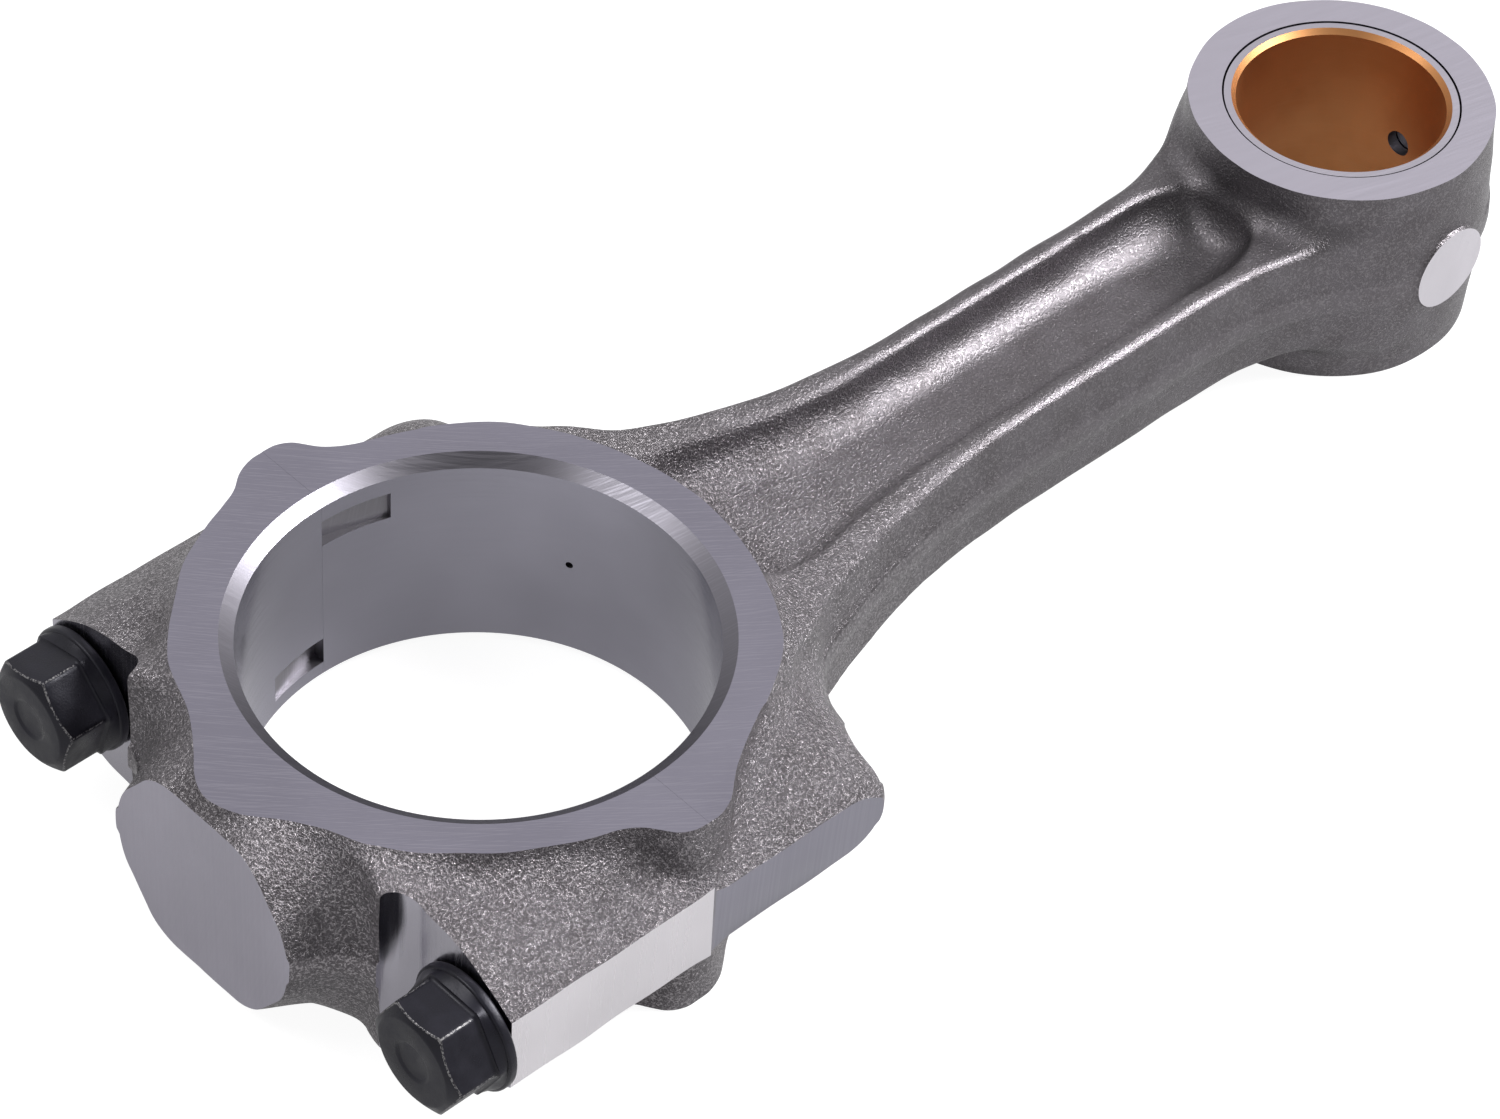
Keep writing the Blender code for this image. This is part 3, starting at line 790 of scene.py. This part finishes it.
def makeRod():
    # the forged skin, kept inside its ground faces and side flats, less every bore and hole
    rod = skinOf("rodForging", rodField, (-3.0, -41.0, -16.2), (158.0, 41.0, 16.2), 0.5,
                 [forgedSteel])
    c = cut
    near, flat, edge = c["split"], c["sideFlat"], c["brokenEdge"]
    outline = [(near, edge - flat), (near + edge, -flat), (200, -flat), (200, flat),
               (near + edge, flat), (near, flat - edge)]
    limits = outlinePrism("rodLimits", outline, -c["halfWidth"], c["halfWidth"], machined,
                          [pick[key] for key in ("split", "rodFlat", "face", "rodFlat", "split",
                                                 "split")], pick["face"])
    smallBore = closedTurn("smallBore", [-past, past], [c["smallBore"]] * 2, 160, "z",
                           (centres, 0, 0), machined, [pick["bore"]] * 3)
    spots = []
    for side in (1, -1):
        along = [side * c["sidePad"], side * (c["sidePad"] + 3)]
        spots.append(closedTurn("sidePad", along, [smallEndShape["spot"] + 2] * 2, 64, "y",
                                (centres + smallEndShape["spotAt"], 0, 0), machined,
                                [pick["sidePad"]] * 3))
    holes = [boltHoleCutter("hole", side, -6.0, 60.0) for side in (1, -1)]
    first = joined("rodCuts", [crankCutter("crank"), smallBore] + spots + holes)
    oil = closedTurn("oilHole", [centres + 8, centres + 30], [c["oilHole"]] * 2, 32, "x", (0, 0, 0),
                     machined, [pick["hole"]] * 3)
    spit = closedTurn("spit", [24.0, 44.0], [c["spitHole"]] * 2, 24, "x", (0, 0, 0), machined,
                      [pick["hole"]] * 3)
    turn = Matrix.Rotation(radians(c["spitAngle"]), 4, "Z")
    middle = Matrix.Translation(bigEnd * mm)
    spit.data.transform(middle @ turn @ middle.inverted())
    second = joined("rodDetails", [tangCutter("tang", 1, 8.9, 8.6), oil, spit])
    machine(rod, limits, "INTERSECT")
    machine(rod, first, "DIFFERENCE")
    machine(rod, second, "DIFFERENCE")
    return settle(rod, [limits, first, second], 32)


def seatCutter(side):
    # milled bolt seat: a wall, a rounded inner corner and the flat seat, run through along z
    c, s = cut, capShape
    radius = c["seatFillet"]
    corner = np.linspace(0, pi / 2, 17)
    bend = np.c_[c["seat"] - radius + radius * np.sin(corner),
                 s["webEdge"] + radius - radius * np.cos(corner)]
    outline = [(-60.0, s["webEdge"])] + bend.tolist() + [(c["seat"], 60.0), (-60.0, 60.0)]
    outline = [(x, side * y) for x, y in outline]
    if side < 0:
        outline = outline[::-1]
    return outlinePrism("seat", outline, -past, past, machined, [pick["seat"]] * len(outline),
                        pick["seat"])


def makeCap():
    # the forged skin, kept inside its faces, flats and end pad, less the bore, seats and holes
    cap = skinOf("capForging", capField, (-41.0, -41.0, -16.2), (3.0, 41.0, 16.2), 0.5,
                 [forgedSteel])
    c = cut
    near, flat, edge = -c["split"], c["sideFlat"], c["brokenEdge"]
    outline = [(capShape["pad"], -flat), (near - edge, -flat), (near, edge - flat),
               (near, flat - edge), (near - edge, flat), (capShape["pad"], flat)]
    limits = outlinePrism("capLimits", outline, -c["halfWidth"], c["halfWidth"], machined,
                          [pick[key] for key in ("capFlat", "split", "split", "split", "capFlat",
                                                 "endPad")], pick["face"])
    seats = joined("seats", [seatCutter(side) for side in (1, -1)])
    first = crankCutter("capCrank")
    holes = joined("capHoles", [boltHoleCutter("hole", side, -60.0, 6.0) for side in (1, -1)]
                   + [tangCutter("tang", -1, -9.3, 8.0)])
    machine(cap, limits, "INTERSECT")
    machine(cap, first, "DIFFERENCE")
    machine(cap, seats, "DIFFERENCE")
    machine(cap, holes, "DIFFERENCE")
    return settle(cap, [limits, first, seats, holes], 32)


rod = makeRod()
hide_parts("rod_body")
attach(rod, "rod")
cap = makeCap()
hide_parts("rod_cap")
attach(cap, "cap")
print("forgings made")

bolt = {
    "seat": -28.2,
    "clearance": 0.3,
    "flange": 7.5,
    "flangeRim": 1.1,
    "flangeCone": 1.15,       # height of the flange's cone above its rim
    "flangeEdge": 0.32,       # rounding of the rim
    "acrossHalf": 6.0,
    "cornerWorn": 0.12,       # taken off the hexagon's corners
    "chamferRadius": 5.45,
    "dimple": 2.1,
    "dimpleDepth": 0.22,
    "top": -36.4,
    "shank": 4.5,
    "pitch": 1.25,
    "threadDepth": 0.6,
    "threadLength": 27.0,
    "tip": 22.0,
    "y": 31.6,
}
blackOxide = {
    "colour": (0.0115, 0.011, 0.017),
    # lighter grey for the rubbed edges, which also paints their highlight
    "wornAndHighlight": (0.30, 0.29, 0.295),
    "roughness": 0.33,
    "metallic": 0.35,
    "specular": 0.36,
    "bump": 0.35,
}


def blackFinish(name, values, wearAndHighlight):
    # black oxide: slightly mottled; the last argument is the share of lighter grey metal that shows
    # through, partly rubbed edges and partly a painted highlight along them
    made, tree, shader = newFinish(name, values)
    at = objectPlace(tree)
    slow = add(tree, "TexNoise", {"Vector": at, "Scale": 420.0, "Detail": 4.0})
    fine = add(tree, "TexNoise", {"Vector": at, "Scale": 4200.0, "Detail": 3.0})
    share = spread(tree, slow.outputs["Fac"], 0.35, 0.75, 0.0, 0.35)
    tone = blend(tree, share, (*values["colour"], 1), (*[c * 2.1 for c in values["colour"]], 1))
    # lighter grey painted over the black: rubbed metal and a painted highlight on the edges
    bareAndHighlight = maths(tree, "MULTIPLY", spread(tree, fine.outputs["Fac"], 0.4, 0.62, 0.0, 1.0), wearAndHighlight)
    tone = blend(tree, bareAndHighlight, tone, (*values["wornAndHighlight"], 1))
    tree.links.new(tone, shader.inputs["Base Color"])
    rough = spread(tree, slow.outputs["Fac"], 0.3, 0.7, values["roughness"] - 0.07,
                   values["roughness"] + 0.12)
    tree.links.new(rough, shader.inputs["Roughness"])
    bump = add(tree, "Bump", {"Height": fine.outputs["Fac"], "Strength": values["bump"],
                              "Distance": 0.00005})
    tree.links.new(bump.outputs[0], shader.inputs["Normal"])
    return made


def makeBolt(name, side, turned, finishes):
    # rings from the end face down to the tip; each ring's radius is a function of the angle,
    # which makes the hexagon, and of the distance along the axis, which makes the thread
    b = bolt
    per = 20
    share = np.linspace(-1, 1, per, endpoint=False) + 1.0 / per
    bunched = np.sin(share * pi / 2) * (pi / 6)
    angle = (np.arange(6)[:, None] * pi / 3 + pi / 6 + bunched[None, :]).ravel()
    fold = (angle % (pi / 3)) - pi / 6
    hexagon = b["acrossHalf"] / np.cos(fold)
    corner = b["acrossHalf"] / cos(pi / 6) - b["cornerWorn"]
    hexagon = np.minimum(hexagon, corner)
    under = b["seat"] - b["clearance"]
    rim = under - b["flangeRim"]
    neck = rim - b["flangeCone"]
    crease = b["top"] + (hexagon - b["chamferRadius"]) * tan(radians(30))
    rows = []                 # distance along and radius, each an array over the angle
    flat = np.ones_like(angle)

    def ring(x, r):
        # alike all the way round
        rows.append((x * flat, r * flat))

    # end face with a shallow round dimple
    ring(b["top"] + b["dimpleDepth"], 0.02)
    ring(b["top"] + b["dimpleDepth"], b["dimple"])
    ring(b["top"] + b["dimpleDepth"] - 0.03, b["dimple"] + 0.2)
    ring(b["top"] + 0.03, b["dimple"] + 0.4)
    ring(b["top"], b["dimple"] + 0.6)
    ring(b["top"], b["chamferRadius"] - 0.25)
    ring(b["top"] + 0.03, b["chamferRadius"] - 0.05)
    for t in (0.12, 0.5, 0.85):
        rows.append((b["top"] + 0.03 + (crease - b["top"]) * t,
                     b["chamferRadius"] - 0.05 + (hexagon - b["chamferRadius"]) * t))
    wornAndHighlightFrom = len(rows) - 1
    rows.append((crease + 0.06, hexagon - 0.03))
    rows.append((crease + 0.14, hexagon))
    wornAndHighlightTo = len(rows) - 1
    for t in (0.3, 0.6, 0.88):
        rows.append((crease + (neck - crease) * t, hexagon))
    flatEnd = len(rows)
    # fillet from the flats out onto the cone of the flange
    for t in np.linspace(0, 1, 6):
        x = neck - 0.55 + 0.55 * sin(t * pi / 2)
        grown = hexagon + (1 - cos(t * pi / 2)) * 0.45
        rows.append((x * flat, np.minimum(grown, 7.28)))
    edge = b["flangeEdge"]
    inner = b["flange"] - edge
    start = rows[-1][1]
    for t in (0.35, 0.7, 1.0):
        rows.append((neck * flat + (rim - neck - 0.1) * t, start + (inner - start) * t))
    for t in np.linspace(0.15, 1, 4):
        ring(rim - 0.1 + edge * (1 - cos(t * pi / 2)), inner + edge * sin(t * pi / 2))
    for t in np.linspace(0, 1, 4):
        ring(under - edge + edge * sin(t * pi / 2), inner + edge * cos(t * pi / 2))
    ring(under, inner - 0.2)
    ring(under, b["shank"] + 0.25)
    ring(under + 0.2, b["shank"] - 0.02)
    threadStart = b["tip"] - b["threadLength"]
    ring(threadStart - 1.4, b["shank"] - 0.02)
    ring(threadStart - 0.5, b["shank"] - 0.25)
    steps = int(b["threadLength"] / b["pitch"] * 10)
    for x in np.linspace(threadStart, b["tip"] - 0.05, steps):
        phase = (x / b["pitch"] - angle / (2 * pi)) % 1.0
        tooth = np.clip((np.abs(phase - 0.5) * 2 - 0.1) / 0.72, 0, 1)
        start = np.clip((x - threadStart) / 1.6, 0, 1)
        crest = min(b["shank"], b["shank"] - b["threadDepth"] - 0.15 + (b["tip"] - x) * 0.8)
        rows.append((x * flat, np.minimum(b["shank"] - b["threadDepth"] * tooth * start
                                          - 0.22 * (1 - start), crest)))
    ring(b["tip"], b["shank"] - b["threadDepth"] - 0.3)
    ring(b["tip"], 0.02)
    along = np.stack([row[0] for row in rows])
    out = np.stack([row[1] for row in rows])
    points = turnedGrid(along, out, angle + turned, "x", (0, side * b["y"], 0))
    count = len(angle)
    faces = gridFaces(len(rows), count).tolist()
    faces += [list(range(count))[::-1], list(range((len(rows) - 1) * count, len(rows) * count))]
    # lighter grey faces on the hexagon's corners and along the edge of its chamfer: rubbed metal and
    # a painted highlight
    wornAndHighlight = np.zeros((len(rows) - 1, 6, per), int)
    wornAndHighlight[wornAndHighlightFrom:wornAndHighlightTo] = 1
    wornAndHighlight[wornAndHighlightTo:flatEnd, :, [0, per - 2, per - 1]] = 1
    made = newPiece(name, points, faces, finishes, wornAndHighlight.ravel().tolist() + [0, 0])
    made.data.set_sharp_from_angle(angle=radians(40))
    return made


# the second finish is the lighter grey of rubbed edges with their painted highlight
boltFinishes = [blackFinish("blackOxide", blackOxide, 0.0),
                blackFinish("blackOxideWornAndHighlight", blackOxide, 0.8)]
for name, side, turned in (("bolt_left", 1, radians(-14.0)), ("bolt_right", -1, 0.0)):
    piece = makeBolt("boltShown" + name[4:].title().replace("_", ""), side, turned, boltFinishes)
    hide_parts(name)
    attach(piece, name)
print("bolts made")

bush = {"outer": 13.96, "lining": 13.1, "bore": 12.5, "half": 13.9, "chamfer": 0.6}
bronze = {
    "colour": (0.56, 0.265, 0.11),
    "bright": (0.63, 0.32, 0.14),
    "dark": (0.49, 0.22, 0.083),
    "roughness": 0.44,
    "metallic": 1.0,
}


def bronzeFinish(name, values):
    # turned bronze: fine rings round the bore and slow changes of tone
    made, tree, shader = newFinish(name, values)
    at = objectPlace(tree)
    squeezed = add(tree, "Mapping", {"Vector": at, "Scale": (40.0, 40.0, 3600.0)})
    rings = add(tree, "TexNoise", {"Vector": squeezed.outputs[0], "Scale": 1.0, "Detail": 2.0})
    slow = add(tree, "TexNoise", {"Vector": at, "Scale": 110.0, "Detail": 3.0})
    tone = blend(tree, spread(tree, slow.outputs["Fac"], 0.3, 0.7, 0.0, 0.7),
                 (*values["colour"], 1), (*values["dark"], 1))
    tone = blend(tree, spread(tree, rings.outputs["Fac"], 0.5, 0.8, 0.0, 0.12), tone,
                 (*values["bright"], 1))
    tree.links.new(tone, shader.inputs["Base Color"])
    rough = spread(tree, slow.outputs["Fac"], 0.3, 0.7, values["roughness"] - 0.04,
                   values["roughness"] + 0.06)
    tree.links.new(rough, shader.inputs["Roughness"])
    bump = add(tree, "Bump", {"Height": rings.outputs["Fac"], "Strength": 0.03,
                              "Distance": 0.00002})
    tree.links.new(bump.outputs[0], shader.inputs["Normal"])
    return made


def makeBush():
    # one wall profile carried round: steel back outside, bronze lining inside
    b = bush
    steel = faceLike("bushBack", colour=(0.52, 0.49, 0.56), roughness=0.36, mark=0.1, bump=0.04)
    lining = bronzeFinish("bushBronze", bronze)
    edge = b["half"]
    wide = b["bore"] + b["chamfer"]
    along = [-edge, -edge, edge, edge, edge, edge - b["chamfer"], -edge + b["chamfer"], -edge]
    out = [b["lining"], b["outer"], b["outer"], b["lining"], wide, b["bore"], b["bore"], wide]
    rowFinish = [0, 0, 0, 1, 1, 1, 1, 1]
    sides = 192
    turn = np.arange(sides) * 2 * pi / sides
    points = turnedGrid(np.array(along), np.array(out), turn, "z", (centres, 0, 0))
    made = newPiece("bushShown", points, gridFaces(len(along), sides, closed=True),
                    [steel, lining], np.repeat(rowFinish, sides))
    hole = closedTurn("bushOil", [centres + 8, centres + 20], [cut["oilHole"]] * 2, 32, "x",
                      (0, 0, 0), machined, [pick["hole"]] * 3)
    machine(made, hole, "DIFFERENCE")
    return settle(made, [hole], 30)


bushShown = makeBush()
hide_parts("small_end_bush")
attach(bushShown, "rod")
print("bush made")

studio = {
    "floor": (0.25, 0.25, 0.253),
    "floorSeen": 0.92,
    "floorGlow": 0.36,        # what the rod sees of the floor's own light
    "floorReach": 3.0,
    "sky": 0.86,
    "skyLow": 0.45,
    "dimDirection": (-0.20, -0.42, 0.88),
    "dim": 0.12,
    "keyDirection": (0.56, -0.42, 0.71),
    "keyPower": 12.3,
    "keySize": 0.42,
    "farDirection": (-0.52, 0.34, 0.79),
    "farPower": 3.2,
    "farSize": 0.46,
}


def makeFloor():
    # a pale square under the rod; the camera sees it brighter than the rod does
    data = bpy.data.meshes.new("floor")
    reach = studio["floorReach"]
    level = cadBox[0].z - 0.0002
    corners = [(-reach, -reach, level), (reach, -reach, level), (reach, reach, level),
               (-reach, reach, level)]
    data.from_pydata(corners, [], [(0, 1, 2, 3)])
    floor = bpy.data.objects.new("floor", data)
    bpy.context.scene.collection.objects.link(floor)
    made, tree, shader = newFinish("paleFloor", {"colour": studio["floor"], "roughness": 0.9,
                                                 "metallic": 0.0, "specular": 0.0})
    seen = add(tree, "LightPath").outputs["Is Camera Ray"]
    glow = blend(tree, seen, (*[studio["floorGlow"]] * 3, 1), (*[studio["floorSeen"]] * 3, 1))
    tree.links.new(glow, shader.inputs["Emission Color"])
    shader.inputs["Emission Strength"].default_value = 1.0
    data.materials.append(made)


def softbox(name, direction, distance, size, power):
    # a square light that faces the middle from one direction
    data = bpy.data.lights.new(name, "AREA")
    data.shape = "SQUARE"
    data.size = size
    data.energy = power
    light = bpy.data.objects.new(name, data)
    bpy.context.scene.collection.objects.link(light)
    aim = Vector(direction).normalized()
    light.location = aim * distance
    light.rotation_euler = aim.to_track_quat("Z", "Y").to_euler()


def makeSky():
    # even pale sky, a little darker low down and dim in one wide patch overhead
    world = bpy.data.worlds.new("studio")
    bpy.context.scene.world = world
    world.use_nodes = True
    tree = world.node_tree
    background = tree.nodes["Background"]
    direction = add(tree, "TexCoord").outputs["Generated"]
    split = add(tree, "SeparateXYZ", {0: direction})
    level = spread(tree, split.outputs[2], 0.0, 0.7, studio["skyLow"], studio["sky"])
    near = add(tree, "VectorMath", {0: direction, 1: studio["dimDirection"]},
               operation="DOT_PRODUCT")
    shade = spread(tree, near.outputs["Value"], 0.55, 0.92, 1.0, studio["dim"] / studio["sky"])
    tree.links.new(maths(tree, "MULTIPLY", level, shade), background.inputs["Strength"])
    background.inputs["Color"].default_value = (1.0, 1.0, 1.0, 1.0)


makeFloor()
makeSky()
softbox("key", studio["keyDirection"], 0.9, studio["keySize"], studio["keyPower"])
softbox("far", studio["farDirection"], 1.1, studio["farSize"], studio["farPower"])
scene = bpy.context.scene
scene.view_settings.view_transform = "Standard"
scene.view_settings.look = "None"
print("studio made")
